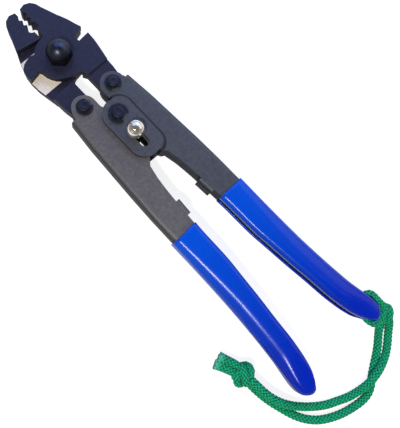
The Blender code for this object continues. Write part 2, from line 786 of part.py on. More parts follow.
def make_clip(name, material, centre, pin_radius, clip_radius, side, opening):
    """Retaining ring with an open mouth and three inner lugs that sit in the pin's groove."""
    seat = side + SEAT_GAP
    touch = pin_radius - GROOVE_DEPTH + PIN_CLEARANCE
    relief = pin_radius + 0.45
    mouth = 32.0
    outline = arc(centre, clip_radius, opening + mouth, opening + 360 - mouth, 10)
    for start, end, radius in (
        (360 - mouth - 4, 360 - mouth - 26, touch),
        (360 - mouth - 32, 204, relief),
        (198, 162, touch),
        (156, mouth + 32, relief),
        (mouth + 26, mouth + 4, touch),
    ):
        outline += arc(centre, radius, opening + start, opening + end, 10)
    clip = make_object(name, prism(outline, seat, seat + CLIP_THICKNESS), material, (*centre, MID_HEIGHT))
    return shade(clip)


def make_sleeve(material):
    """Spacer that keeps the rear handle's lugs apart and carries the spring."""
    half = SHEET_INNER - SEAT_GAP
    inner = HANDLE_PIN_RADIUS + PIN_CLEARANCE
    outer = inner + SLEEVE_WALL
    profile = [(inner, -half), (outer, -half), (outer, half), (inner, half), (inner, -half)]
    sleeve = make_object("spacer_sleeve", turned(profile, HANDLE_PIVOT), material, (*HANDLE_PIVOT, MID_HEIGHT))
    return shade(sleeve)


def cord_object(name, points, radius, material, sides=2, flare=1.0):
    """A plain round tube along a list of points in millimetres."""
    curve = bpy.data.curves.new(name, "CURVE")
    curve.dimensions = "3D"
    curve.bevel_depth = radius * MM
    curve.bevel_resolution = sides
    curve.use_fill_caps = True
    spline = curve.splines.new("POLY")
    spline.points.add(len(points) - 1)
    for index, (target, point) in enumerate(zip(spline.points, points)):
        target.co = (point[0] * MM, point[1] * MM, point[2] * MM, 1.0)
        target.radius = 1.0 + (flare - 1.0) * index / (len(points) - 1)
    curve.materials.append(material)
    obj = bpy.data.objects.new(name, curve)
    bpy.context.scene.collection.objects.link(obj)
    return obj


def make_spring(material):
    """Torsion spring round the sleeve, with one leg against each handle's web."""
    coil = HANDLE_PIN_RADIUS + PIN_CLEARANCE + SLEEVE_WALL + SEAT_GAP + SPRING_WIRE / 2
    start = 90.0 + SPRING_LEG_ANGLE
    sweep = SPRING_TURNS * 360.0 - 180.0 - 2 * SPRING_LEG_ANGLE
    rise = SPRING_PITCH * sweep / 360
    points = []
    count = int(sweep / 24)
    for index in range(count + 1):
        turn = radians(start + sweep * index / count)
        z = MID_HEIGHT - rise / 2 + rise * index / count
        points.append((HANDLE_PIVOT[0] + coil * cos(turn), HANDLE_PIVOT[1] + coil * sin(turn), z))
    legs = []
    for point, side in ((points[0], 1), (points[-1], -1)):
        angle = radians(SPRING_LEG_ANGLE)
        x = point[0] + SPRING_LEG_REACH * cos(angle)
        legs.append((x, point[1] + side * SPRING_LEG_REACH * sin(angle), point[2]))
    first = [Vector(legs[0]).lerp(Vector(points[0]), share) for share in (0.0, 0.5)]
    last = [Vector(points[-1]).lerp(Vector(legs[1]), share) for share in (0.5, 1.0)]
    return cord_object("opening_spring", [*first, *points, *last], SPRING_WIRE / 2, material, 1)


def make_lock_knob(material):
    """Ball knob, its shank in the pads' slot and its thin stem through the rear handle's window."""
    centre = from_handle_pivot(LOCK_REST)
    seat = PAD_OUTER + SEAT_GAP
    middle = seat + BALL_SEAT_DEPTH
    step = SHEET_OUTER + LAP_GAP
    profile = [(0, -PAD_OUTER), (LOCK_STEM_RADIUS, -PAD_OUTER), (LOCK_STEM_RADIUS, step)]
    profile += [(LOCK_SHANK_RADIUS, step), (LOCK_SHANK_RADIUS, seat)]
    foot = degrees(asin(-BALL_SEAT_DEPTH / BALL_RADIUS))
    for index in range(10):
        turn = radians(foot + (90 - foot) * index / 9)
        profile.append((BALL_RADIUS * cos(turn), middle + BALL_RADIUS * sin(turn)))
    profile[-1] = (0, middle + BALL_RADIUS)
    return shade(make_object("lock_knob", turned(profile, centre), material, (*centre, MID_HEIGHT)))


def make_lock_retainer(material):
    """Head and sleeve that hold the lock's stem at the back, in the rear pad's slot."""
    centre = from_handle_pivot(LOCK_REST)
    seat = -PAD_OUTER - SEAT_GAP
    inner = -SHEET_OUTER - LAP_GAP
    low = seat - RETAINER_HEIGHT
    bore = LOCK_STEM_RADIUS + PIN_CLEARANCE
    profile = [
        (0, low),
        (RETAINER_RADIUS - 0.4, low),
        (RETAINER_RADIUS, low + 0.4),
        (RETAINER_RADIUS, seat),
        (LOCK_SHANK_RADIUS, seat),
        (LOCK_SHANK_RADIUS, inner),
        (bore, inner),
        (bore, -PAD_OUTER - LAP_GAP),
        (0, -PAD_OUTER - LAP_GAP),
    ]
    return shade(make_object("lock_retainer", turned(profile, centre), material, (*centre, MID_HEIGHT)))


def make_knot(name, centre, radii, material):
    """A rounded lump in the cord, which lies on the surface under the pliers."""
    builder = bmesh.new()
    bmesh.ops.create_uvsphere(builder, u_segments=16, v_segments=10, radius=1.0)
    bmesh.ops.scale(builder, vec=radii, verts=builder.verts)
    bmesh.ops.translate(builder, vec=(*centre, radii[2]), verts=builder.verts)
    return shade(make_object(name, builder, material, (*centre, radii[2])))


def make_cord(material):
    cord_object("lanyard_loop", smooth_curve(CORD_LOOP, LOOP_POINTS), CORD_RADIUS, material)
    cord_object("lanyard_strand_inner", smooth_curve(CORD_INNER, STRAND_POINTS), CORD_RADIUS, material)
    cord_object("lanyard_strand_outer", smooth_curve(CORD_OUTER, STRAND_POINTS), CORD_RADIUS, material)
    make_knot("lanyard_hitch", HITCH_CENTRE, HITCH_RADII, material)
    make_knot("lanyard_knot", KNOT_CENTRE, KNOT_RADII, material)
    cord_object("lanyard_tail_upper", TAIL_UPPER, CORD_RADIUS, material, 2, TAIL_FLARE)
    cord_object("lanyard_tail_lower", TAIL_LOWER, CORD_RADIUS, material, 2, TAIL_FLARE)


def main():
    clear_scene()
    jaw_finish = make_material("jaw_paint", (0.03, 0.035, 0.07), 0.38, 0.3)
    front_finish = make_material("front_handle_paint", (0.075, 0.09, 0.12), 0.5, 0.4)
    rear_finish = make_material("rear_handle_paint", (0.085, 0.085, 0.095), 0.5, 0.4)
    dark_steel = make_material("blackened_steel", (0.03, 0.03, 0.035), 0.3, 0.8)
    bright_steel = make_material("chromed_steel", (0.8, 0.8, 0.82), 0.08, 1.0)
    spring_steel = make_material("spring_steel", (0.35, 0.35, 0.36), 0.3, 1.0)
    vinyl = make_material("blue_vinyl", (0.01, 0.06, 0.62), 0.25, 0.0)
    braid = make_material("green_braid", (0.0, 0.24, 0.11), 0.8, 0.0)

    running = ARM_PIN_RADIUS + PIN_CLEARANCE
    loose = ARM_PIN_RADIUS + OPEN_PIVOT_CLEARANCE
    make_jaw("jaw_front", jaw_finish, FRONT_TONGUE, True, running, False)
    make_jaw("jaw_rear", jaw_finish, REAR_TONGUE, False, loose, True)
    make_pivot_bolt(dark_steel)
    make_acorn_nut(dark_steel)

    make_handle("handle_front", front_finish, True, False)
    make_handle("handle_rear", rear_finish, False, True)
    make_grip("grip_front", vinyl, False, True)
    make_grip("grip_rear", vinyl, True, False)

    for label, centre, opening in (
        ("front", ARM_PIVOT, -20.0),
        ("rear", mirror_point(ARM_PIVOT), 100.0),
    ):
        make_pin(
            "arm_pin_" + label,
            dark_steel,
            centre,
            ARM_PIN_RADIUS,
            SHEET_OUTER,
            ARM_PIN_HEAD_RADIUS,
            ARM_PIN_HEAD_HEIGHT,
        )
        name = "arm_clip_" + label
        make_clip(name, dark_steel, centre, ARM_PIN_RADIUS, ARM_CLIP_RADIUS, SHEET_OUTER, opening)
    make_pin(
        "handle_pin",
        dark_steel,
        HANDLE_PIVOT,
        HANDLE_PIN_RADIUS,
        PAD_OUTER,
        HANDLE_PIN_HEAD_RADIUS,
        HANDLE_PIN_HEAD_HEIGHT,
    )
    make_clip("handle_clip", dark_steel, HANDLE_PIVOT, HANDLE_PIN_RADIUS, HANDLE_CLIP_RADIUS, PAD_OUTER, 20.0)
    make_sleeve(spring_steel)
    make_spring(spring_steel)
    make_lock_knob(bright_steel)
    make_lock_retainer(dark_steel)
    make_cord(braid)


main()
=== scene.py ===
# Crimping pliers with a braided wrist cord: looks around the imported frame
import json
from math import asin, cos, floor, radians, sin, sqrt, tau

import bmesh
import bpy
from mathutils import Matrix, Vector


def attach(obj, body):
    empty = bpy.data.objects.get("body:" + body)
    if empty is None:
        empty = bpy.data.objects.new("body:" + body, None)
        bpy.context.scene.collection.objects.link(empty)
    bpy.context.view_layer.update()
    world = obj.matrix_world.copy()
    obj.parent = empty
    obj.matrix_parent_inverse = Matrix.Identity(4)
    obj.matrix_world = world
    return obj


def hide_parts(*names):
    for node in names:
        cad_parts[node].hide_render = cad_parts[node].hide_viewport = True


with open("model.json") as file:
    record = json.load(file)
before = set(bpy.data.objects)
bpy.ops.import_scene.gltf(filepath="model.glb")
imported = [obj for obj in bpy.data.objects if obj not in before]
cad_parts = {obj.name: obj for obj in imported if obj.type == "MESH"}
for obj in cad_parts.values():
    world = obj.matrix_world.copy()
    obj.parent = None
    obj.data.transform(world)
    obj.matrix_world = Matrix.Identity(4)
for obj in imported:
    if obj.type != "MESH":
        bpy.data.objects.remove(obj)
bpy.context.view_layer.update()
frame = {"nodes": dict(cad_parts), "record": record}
cadNodes = frame["nodes"]
bodyOf = {node: body for body, nodes in frame["record"]["behaviour"]["bodies"].items() for node in nodes}
scene = bpy.context.scene
mm = 0.001
midHeight = 10.6  # middle of the head's thickness, where the two jaws lap


# camera, set by the photograph's own perspective

cameraLook = {
    "turn": (-0.149538, 0.164592, -0.792384),
    "place": (0.06822841, -0.080134826, 0.298479853),
    "lift": 0.0106,
    "lens": 46.867,
    "shift": (0.02967, -0.01247),
}


def addCamera():
    across, along, round_ = cameraLook["turn"]
    tilt = Matrix.Rotation(across, 3, "X") @ Matrix.Rotation(along, 3, "Y")
    turn = tilt @ Matrix.Rotation(round_, 3, "Z")
    place = turn.transposed() @ Vector(cameraLook["place"]) + Vector((0, 0, cameraLook["lift"]))
    data = bpy.data.cameras.new("camera")
    data.lens = cameraLook["lens"]
    data.sensor_width = 36
    data.shift_x, data.shift_y = cameraLook["shift"]
    data.clip_start = 0.01
    camera = bpy.data.objects.new("camera", data)
    scene.collection.objects.link(camera)
    camera.matrix_world = Matrix.Translation(place) @ turn.transposed().to_4x4()
    scene.camera = camera


addCamera()
print("camera in place")


# node helpers

def addNode(tree, kind, place, **settings):
    node = tree.nodes.new(kind)
    node.location = place
    for key, value in settings.items():
        setattr(node, key, value)
    return node


def setInputs(node, **values):
    for key, value in values.items():
        node.inputs[key.replace("_", " ")].default_value = value


def newMaterial(name, **values):
    material = bpy.data.materials.new(name)
    material.use_nodes = True
    tree = material.node_tree
    shader = tree.nodes["Principled BSDF"]
    shader.location = (400, 0)
    tree.nodes["Material Output"].location = (700, 0)
    setInputs(shader, **values)
    return material, tree, shader


def mathNode(tree, operation, place, first, second=None, third=None, clamp=False):
    node = addNode(tree, "ShaderNodeMath", place, operation=operation, use_clamp=clamp)
    for index, value in enumerate((first, second, third)):
        if value is None:
            continue
        if isinstance(value, (int, float)):
            node.inputs[index].default_value = value
        else:
            tree.links.new(value, node.inputs[index])
    return node.outputs[0]


def mixColour(tree, place, factor, first, second):
    node = addNode(tree, "ShaderNodeMix", place, data_type="RGBA")
    for index, value in ((0, factor), (6, first), (7, second)):
        if isinstance(value, (int, float)):
            node.inputs[index].default_value = value
        elif isinstance(value, tuple):
            node.inputs[index].default_value = (*value, 1)
        else:
            tree.links.new(value, node.inputs[index])
    return node.outputs[2]


def spread(tree, place, value, low, high, newLow, newHigh):
    node = addNode(tree, "ShaderNodeMapRange", place, clamp=True)
    tree.links.new(value, node.inputs[0])
    for index, number in enumerate((low, high, newLow, newHigh)):
        node.inputs[index + 1].default_value = number
    return node.outputs[0]


def addBump(tree, shader, height, strength, distance):
    bump = addNode(tree, "ShaderNodeBump", (150, -350))
    setInputs(bump, Strength=strength, Distance=distance)
    tree.links.new(height, bump.inputs["Height"])
    tree.links.new(bump.outputs["Normal"], shader.inputs["Normal"])
    return bump


# shared effects

def makeEdgeWear():
    group = bpy.data.node_groups.new("edgeWear", "ShaderNodeTree")
    for label, way in (("Width", "INPUT"), ("Breakup", "INPUT"), ("Mask", "OUTPUT")):
        group.interface.new_socket(label, socket_type="NodeSocketFloat", in_out=way)
    given = addNode(group, "NodeGroupInput", (-900, 0))
    result = addNode(group, "NodeGroupOutput", (500, 0))
    rounded = addNode(group, "ShaderNodeBevel", (-650, 150), samples=6)
    group.links.new(given.outputs["Width"], rounded.inputs["Radius"])
    surface = addNode(group, "ShaderNodeNewGeometry", (-650, -100))
    compare = addNode(group, "ShaderNodeVectorMath", (-400, 100), operation="DOT_PRODUCT")
    group.links.new(rounded.outputs["Normal"], compare.inputs[0])
    group.links.new(surface.outputs["Normal"], compare.inputs[1])
    edge = spread(group, (-200, 100), compare.outputs["Value"], 0.99, 0.86, 0.0, 1.0)
    places = addNode(group, "ShaderNodeTexCoord", (-650, -350))
    noise = addNode(group, "ShaderNodeTexNoise", (-400, -250))
    setInputs(noise, Detail=4.0, Roughness=0.65)
    group.links.new(places.outputs["Object"], noise.inputs["Vector"])
    group.links.new(given.outputs["Breakup"], noise.inputs["Scale"])
    patches = spread(group, (-200, -250), noise.outputs["Fac"], 0.42, 0.66, 0.0, 1.0)
    group.links.new(mathNode(group, "MULTIPLY", (200, 0), edge, patches), result.inputs["Mask"])
    return group


def makeGrain():
    group = bpy.data.node_groups.new("fineGrain", "ShaderNodeTree")
    for label, way in (("Size", "INPUT"), ("Stretch", "INPUT"), ("Tone", "OUTPUT"), ("Height", "OUTPUT")):
        group.interface.new_socket(label, socket_type="NodeSocketFloat", in_out=way)
    given = addNode(group, "NodeGroupInput", (-900, 0))
    result = addNode(group, "NodeGroupOutput", (500, 0))
    places = addNode(group, "ShaderNodeTexCoord", (-900, -250))
    stretched = addNode(group, "ShaderNodeVectorMath", (-650, -200), operation="MULTIPLY")
    scales = addNode(group, "ShaderNodeCombineXYZ", (-850, -450))
    setInputs(scales, Y=1.0, Z=1.0)
    group.links.new(given.outputs["Stretch"], scales.inputs["X"])
    group.links.new(places.outputs["Object"], stretched.inputs[0])
    group.links.new(scales.outputs["Vector"], stretched.inputs[1])
    coarse = addNode(group, "ShaderNodeTexNoise", (-400, 100))
    fine = addNode(group, "ShaderNodeTexNoise", (-400, -250))
    setInputs(coarse, Detail=3.0, Roughness=0.6)
    setInputs(fine, Detail=2.0, Roughness=0.7)
    group.links.new(stretched.outputs["Vector"], coarse.inputs["Vector"])
    group.links.new(stretched.outputs["Vector"], fine.inputs["Vector"])
    for y, share, noise in ((100, 0.25, coarse), (-50, 1.0, fine)):
        scale = mathNode(group, "DIVIDE", (-650, y), share, given.outputs["Size"])
        group.links.new(scale, noise.inputs["Scale"])
    fineShare = mathNode(group, "MULTIPLY", (-200, -200), fine.outputs["Fac"], 0.4)
    both = mathNode(group, "MULTIPLY_ADD", (0, 0), coarse.outputs["Fac"], 0.6, fineShare)
    group.links.new(both, result.inputs["Tone"])
    group.links.new(fine.outputs["Fac"], result.inputs["Height"])
    return group


edgeWear = makeEdgeWear()
fineGrain = makeGrain()


def addEdgeWear(tree, place, width, breakup):
    node = addNode(tree, "ShaderNodeGroup", place, node_tree=edgeWear)
    setInputs(node, Width=width, Breakup=breakup)
    return node.outputs["Mask"]


def addGrain(tree, place, size, stretch=1.0):
    node = addNode(tree, "ShaderNodeGroup", place, node_tree=fineGrain)
    setInputs(node, Size=size, Stretch=stretch)
    return node.outputs["Tone"], node.outputs["Height"]


# painted and blackened metal

def paintedMetal(look):
    material, tree, shader = newMaterial(look["name"], Roughness=look["gloss"], Metallic=look["metal"],
                                         Specular_IOR_Level=look["shine"])
    tone, height = addGrain(tree, (-700, 0), look["grain"])
    worn = addEdgeWear(tree, (-700, -300), look["wearWidth"], look["wearBreakup"])
    lightness = spread(tree, (-500, 100), tone, 0.35, 0.65, 0.0, 1.0)
    clean = mixColour(tree, (-300, 100), lightness, look["dark"], look["light"])
    faded = mathNode(tree, "MULTIPLY", (-450, -300), worn, look["wear"])
    # painted shade: faces that turn away from straight up (walls, bends, joggles) are darkened towards
    # look["side"] and made rougher
    surface = addNode(tree, "ShaderNodeNewGeometry", (-1300, -600))
    facing = addNode(tree, "ShaderNodeSeparateXYZ", (-1100, -600))
    tree.links.new(surface.outputs["Normal"], facing.inputs[0])
    upright = mathNode(tree, "ABSOLUTE", (-900, -600), facing.outputs["Z"])
    side = spread(tree, (-700, -600), upright, *look["sideFrom"], look["paintedSideShade"], 0.0)
    shaded = mixColour(tree, (-200, 250), side, clean, look["side"])
    tree.links.new(mixColour(tree, (-50, 100), faded, shaded, look["bare"]), shader.inputs["Base Color"])
    gloss = look["gloss"]
    rough = spread(tree, (-300, -150), tone, 0.3, 0.7, gloss - 0.06, gloss + 0.07)
    dulled = mathNode(tree, "MULTIPLY_ADD", (-100, -200), side, look["sideDulls"], rough)
    tree.links.new(dulled, shader.inputs["Roughness"])
    addBump(tree, shader, height, look["bump"], look["grain"] * 0.25)
    return material, tree, shader


frontHandle = {
    "name": "frontHandlePaint",
    "dark": (0.049, 0.052, 0.066),
    "light": (0.074, 0.078, 0.095),
    # side: painted shade colour for faces that turn away from straight up
    "side": (0.014, 0.014, 0.018),
    "bare": (0.2, 0.2, 0.21),
    "gloss": 0.46,
    "metal": 0.1,
    "grain": 0.00045,
    "bump": 0.35,
    "wear": 0.3,
    "wearWidth": 0.0005,
    "wearBreakup": 900.0,
    "shine": 0.4,
    "paintedSideShade": 0.92,
    "sideDulls": 0.3,
    "sideFrom": (0.45, 0.98),
}
rearHandle = {
    **frontHandle,
    "name": "rearHandlePaint",
    "dark": (0.092, 0.083, 0.083),
    "light": (0.138, 0.127, 0.127),
}
pinSteel = {
    **frontHandle,
    "name": "blackenedPins",
    "dark": (0.010, 0.011, 0.024),
    "light": (0.020, 0.022, 0.042),
    # side: painted shade colour for faces that turn away from straight up
    "side": (0.008, 0.008, 0.012),
    "gloss": 0.36,
    "metal": 0.3,
    "bump": 0.15,
}
domeBlack = {
    **pinSteel,
    "name": "polishedBlackNut",
    "dark": (0.042, 0.046, 0.072),
    "light": (0.06, 0.066, 0.095),
    "gloss": 0.3,
    "metal": 1.0,
    "bump": 0.04,
    "wear": 0.0,
}
jawPaint = {
    "name": "navyJawPaint",
    "dark": (0.012, 0.012, 0.028),
    "light": (0.021, 0.02, 0.046),
    # side: painted shade colour for the jaws' walls and other faces that turn away from straight up
    "side": (0.009, 0.009, 0.018),
    "bare": (0.16, 0.16, 0.19),
    "gloss": 0.42,
    "metal": 0.1,
    "grain": 0.0005,
    "bump": 0.25,
    "wear": 0.35,
    "wearWidth": 0.0004,
    "wearBreakup": 900.0,
    "shine": 0.35,
    "paintedSideShade": 1.0,
    "sideDulls": 0.3,
    "sideFrom": (0.15, 0.75),
    "floorHeight": 0.0106,
    "floorSpan": (-0.0113, 0.0101),
    "floorEdge": 0.0003,
    "ground": (0.98, 0.88, 0.74),
    "groundDark": (0.78, 0.67, 0.54),
    "groundMetal": 0.1,
    "markWidth": 0.0002,
    "markStretch": 0.12,
}


def jawMetal(look):
    material, tree, shader = paintedMetal(look)
    places = addNode(tree, "ShaderNodeTexCoord", (-1300, 500))
    split = addNode(tree, "ShaderNodeSeparateXYZ", (-1100, 500))
    tree.links.new(places.outputs["Object"], split.inputs[0])
    start, end = look["floorSpan"]
    edge = look["floorEdge"]
    level = mathNode(tree, "COMPARE", (-900, 700), split.outputs["Z"], look["floorHeight"], edge)
    after = spread(tree, (-900, 550), split.outputs["X"], start, start + edge, 0.0, 1.0)
    before = spread(tree, (-900, 400), split.outputs["X"], end, end - edge, 0.0, 1.0)
    both = mathNode(tree, "MULTIPLY", (-700, 600), level, after)
    ground = mathNode(tree, "MULTIPLY", (-500, 550), both, before)
    marks, _ = addGrain(tree, (-900, 900), look["markWidth"], look["markStretch"])
    marked = spread(tree, (-600, 900), marks, 0.35, 0.65, 0.0, 1.0)
    steel = mixColour(tree, (-300, 700), marked, look["groundDark"], look["ground"])
    painted = shader.inputs["Base Color"].links[0].from_socket
    tree.links.new(mixColour(tree, (150, 300), ground, painted, steel), shader.inputs["Base Color"])
    metallic = spread(tree, (0, -50), ground, 0.0, 1.0, look["metal"], look["groundMetal"])
    tree.links.new(metallic, shader.inputs["Metallic"])
    return material


def bareMetal(look):
    material, tree, shader = newMaterial(look["name"], Metallic=look["metal"], Roughness=look["gloss"])
    tone, height = addGrain(tree, (-700, 0), look["grain"], look["stretch"])
    lightness = spread(tree, (-450, 100), tone, 0.3, 0.7, 0.0, 1.0)
    colour = mixColour(tree, (-200, 100), lightness, look["dark"], look["light"])
    tree.links.new(colour, shader.inputs["Base Color"])
    gloss = look["gloss"]
    rough = spread(tree, (-200, -150), tone, 0.3, 0.7, gloss * 0.7, gloss * 1.4)
    tree.links.new(rough, shader.inputs["Roughness"])
    addBump(tree, shader, height, look["bump"], 0.00005)
    return material


chromeBall = {
    "name": "chromedKnob",
    # dark: warm brown mixed in blotches, a painted reflection of warm surroundings on the chrome
    "dark": (0.42, 0.35, 0.24),
    "light": (0.97, 0.96, 0.93),
    "gloss": 0.13,
    "grain": 0.0028,
    "stretch": 1.0,
    "bump": 0.01,
    "metal": 0.9,
}
springSteel = {
    "name": "drawnSpringSteel",
    "dark": (0.26, 0.25, 0.25),
    "light": (0.42, 0.41, 0.4),
    "gloss": 0.28,
    "grain": 0.0003,
    "stretch": 0.2,
    "bump": 0.2,
    "metal": 1.0,
}


# dipped vinyl grips

gripVinyl = {
    "name": "blueDippedVinyl",
    "nearHead": (0.0, 0.077, 0.6),
    "nearTail": (0.0, 0.018, 0.4),
    "from": 0.118,
    "to": 0.205,
    "gloss": 0.34,
    "grain": 0.0011,
    "rippleScale": 160.0,
    "rippleBump": (0.1, 0.0002),
    "coat": 0.48,
    "coatRoughness": 0.2,
    "coatIor": 1.45,
}


def dippedVinyl(look):
    material, tree, shader = newMaterial(look["name"], Roughness=look["gloss"], Specular_IOR_Level=0.0,
                                         Coat_Weight=look["coat"], Coat_IOR=look["coatIor"],
                                         Coat_Roughness=look["coatRoughness"])
    places = addNode(tree, "ShaderNodeTexCoord", (-1000, 200))
    split = addNode(tree, "ShaderNodeSeparateXYZ", (-800, 200))
    tree.links.new(places.outputs["Object"], split.inputs[0])
    along = spread(tree, (-600, 200), split.outputs["X"], look["from"], look["to"], 0.0, 1.0)
    tone, height = addGrain(tree, (-800, -150), look["grain"])
    uneven = mathNode(tree, "SUBTRACT", (-600, -50), tone, 0.5)
    mottled = mathNode(tree, "MULTIPLY_ADD", (-400, 100), uneven, 0.35, along, clamp=True)
    colour = mixColour(tree, (-150, 150), mottled, look["nearHead"], look["nearTail"])
    tree.links.new(colour, shader.inputs["Base Color"])
    ripple = addNode(tree, "ShaderNodeTexNoise", (-500, -350))
    setInputs(ripple, Scale=look["rippleScale"], Detail=1.0)
    tree.links.new(places.outputs["Object"], ripple.inputs["Vector"])
    skin = mathNode(tree, "MULTIPLY_ADD", (-200, -300), height, 0.03, ripple.outputs["Fac"])
    addBump(tree, shader, skin, *look["rippleBump"])
    gloss = look["gloss"]
    rough = spread(tree, (-150, -100), tone, 0.3, 0.7, gloss - 0.03, gloss + 0.05)
    tree.links.new(rough, shader.inputs["Roughness"])
    return material


frontPaint = paintedMetal(frontHandle)[0]
rearPaint = paintedMetal(rearHandle)[0]
blackSteel = paintedMetal(pinSteel)[0]
blackGloss = paintedMetal(domeBlack)[0]
navyPaint = jawMetal(jawPaint)
chrome = bareMetal(chromeBall)
drawnSteel = bareMetal(springSteel)
blueVinyl = dippedVinyl(gripVinyl)
print("finishes made")


# from a bmesh in millimetres to a piece that stands for its node

def finishPiece(name, shape, node, material):
    bmesh.ops.scale(shape, vec=(mm, mm, mm), verts=shape.verts)
    mesh = bpy.data.meshes.new(name)
    shape.to_mesh(mesh)
    shape.free()
    mesh.shade_smooth()
    mesh.materials.append(material)
    piece = bpy.data.objects.new(name, mesh)
    scene.collection.objects.link(piece)
    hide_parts(node)
    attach(piece, bodyOf[node])
    return piece


def softenEdges(piece, width, angle=35):
    soft = piece.modifiers.new("softEdges", "BEVEL")
    soft.width = width * mm
    soft.segments = 2
    soft.limit_method = "ANGLE"
    soft.angle_limit = radians(angle)
    even = piece.modifiers.new("evenShading", "WEIGHTED_NORMAL")
    even.weight = 80


# pressed, forged and bent pieces: merged copies of their solids with softened edges

formedPieces = {
    "jawFront": ("jaw_front", navyPaint, 0.28),
    "jawRear": ("jaw_rear", navyPaint, 0.28),
    "handleFront": ("handle_front", frontPaint, 0.35),
    "handleRear": ("handle_rear", rearPaint, 0.35),
    "pivotBolt": ("pivot_bolt", blackSteel, 0.2),
    "armClipFront": ("arm_clip_front", blackSteel, 0.12),
    "armClipRear": ("arm_clip_rear", blackSteel, 0.12),
    "handleClip": ("handle_clip", blackSteel, 0.12),
    "lockRetainer": ("lock_retainer", blackSteel, 0.15),
    "openingSpring": ("opening_spring", drawnSteel, 0.1),
    "spacerSleeve": ("spacer_sleeve", drawnSteel, 0.15),
}


def mergedCopy(node):
    shape = bmesh.new()
    shape.from_mesh(cadNodes[node].data)
    bmesh.ops.scale(shape, vec=(1 / mm, 1 / mm, 1 / mm), verts=shape.verts)
    bmesh.ops.remove_doubles(shape, verts=shape.verts, dist=0.002)
    bmesh.ops.dissolve_limit(shape, angle_limit=radians(0.5), verts=shape.verts, edges=shape.edges)
    return shape


for name, (node, material, width) in formedPieces.items():
    piece = finishPiece(name, mergedCopy(node), node, material)
    softenEdges(piece, width, angle=42)
print("jaws, handles and small steel formed")


# turned pieces: one spin each

armPivot = (29.92, 10.14)
handlePivot = (44.5, 0.0)
armPin = {"radius": 2.9, "seat": 6.6, "head": (4.4, 1.6)}
pinLook = {
    "groove": 0.6,
    "clip": 1.0,
    "grooveGap": 0.1,
    "stub": 2.4,
    "rounding": 0.45,
    "dimple": 0.35,
    "soft": 0.12,
    "pins": {
        "armPinFront": {**armPin, "node": "arm_pin_front", "centre": armPivot},
        "armPinRear": {**armPin, "node": "arm_pin_rear", "centre": (armPivot[0], -armPivot[1])},
        "handlePin": {"node": "handle_pin", "centre": handlePivot, "radius": 3.2, "seat": 9.2,
                      "head": (5.2, 1.1)},
    },
}
nutLook = {
    "flats": 12.0,
    "low": 5.3,
    "hexagon": 3.4,
    "dome": 7.4,
    "turn": 45,
    "rings": 20,
    "steps": 120,
    "soft": 0.1,
}
knobLook = {
    "centre": (57.0, 0.0),
    "ball": 4.9,
    "middle": 13.0,
    "neck": 2.3,
    "seat": 9.2,
    "stem": 1.7,
    "step": 6.45,
    "foot": -8.9,
    "rings": 32,
    "steps": 96,
    "soft": 0.1,
}


def turnedShape(profile, centre, steps=72):
    shape = bmesh.new()
    x, y = centre
    points = [shape.verts.new((x + radius, y, midHeight + height)) for radius, height in profile]
    edges = [shape.edges.new(pair) for pair in zip(points, points[1:])]
    bmesh.ops.spin(shape, geom=[*points, *edges], cent=(x, y, 0), axis=(0, 0, 1), angle=tau,
                   steps=steps, use_merge=True)
    bmesh.ops.remove_doubles(shape, verts=shape.verts, dist=0.001)
    bmesh.ops.recalc_face_normals(shape, faces=shape.faces)
    return shape


def addPins():
    for name, pin in pinLook["pins"].items():
        radius = pin["radius"]
        seat = pin["seat"]
        headRadius, headHeight = pin["head"]
        groove = seat + pinLook["clip"]
        top = groove + pinLook["stub"]
        foot = -seat - headHeight
        rounding = pinLook["rounding"]
        waist = radius - pinLook["groove"]
        shoulder = seat - pinLook["grooveGap"]
        dimple = pinLook["dimple"]
        profile = [(0, foot), (headRadius - rounding, foot), (headRadius, foot + rounding),
                   (headRadius, -seat), (radius, -seat), (radius, shoulder), (waist, shoulder),
                   (waist, groove), (radius, groove), (radius, top - rounding),
                   (radius - rounding, top), (radius * dimple, top), (0, top - dimple)]
        piece = finishPiece(name, turnedShape(profile, pin["centre"]), pin["node"], blackSteel)
        softenEdges(piece, pinLook["soft"])


def addNut():
    corner = nutLook["flats"] / sqrt(3)
    high = nutLook["low"] + nutLook["hexagon"]
    profile = [(0, nutLook["low"]), (corner, nutLook["low"])]
    rings = nutLook["rings"]
    for index in range(rings + 1):
        turn = radians(90 * index / rings)
        profile.append((corner * cos(turn), high + nutLook["dome"] * sin(turn)))
    shape = turnedShape(profile, (0, 0), nutLook["steps"])
    for index in range(6):
        turn = radians(nutLook["turn"] + 30 + 60 * index)
        outward = Vector((cos(turn), sin(turn), 0))
        bmesh.ops.bisect_plane(shape, geom=[*shape.verts, *shape.edges, *shape.faces], dist=0.0001,
                               plane_co=outward * nutLook["flats"] / 2, plane_no=outward,
                               clear_outer=True)
        cut = [edge for edge in shape.edges if edge.is_boundary]
        bmesh.ops.holes_fill(shape, edges=cut, sides=0)
    bmesh.ops.recalc_face_normals(shape, faces=shape.faces)
    piece = finishPiece("acornNut", shape, "acorn_nut", blackGloss)
    softenEdges(piece, nutLook["soft"], angle=20)


def addKnob():
    ball = knobLook["ball"]
    stem = knobLook["stem"]
    step = knobLook["step"]
    neck = knobLook["neck"]
    seat = knobLook["seat"]
    middle = knobLook["middle"]
    rings = knobLook["rings"]
    profile = [(0, knobLook["foot"]), (stem, knobLook["foot"]), (stem, step), (neck, step), (neck, seat)]
    low = asin((seat - middle) / ball)
    for index in range(rings + 1):
        turn = low + (tau / 4 - low) * index / rings
        profile.append((ball * cos(turn), middle + ball * sin(turn)))
    shape = turnedShape(profile, knobLook["centre"], knobLook["steps"])
    piece = finishPiece("lockKnob", shape, "lock_knob", chrome)
    softenEdges(piece, knobLook["soft"])


addPins()
addNut()
addKnob()
print("pins, nut and knob turned")


# smooth routes through given points

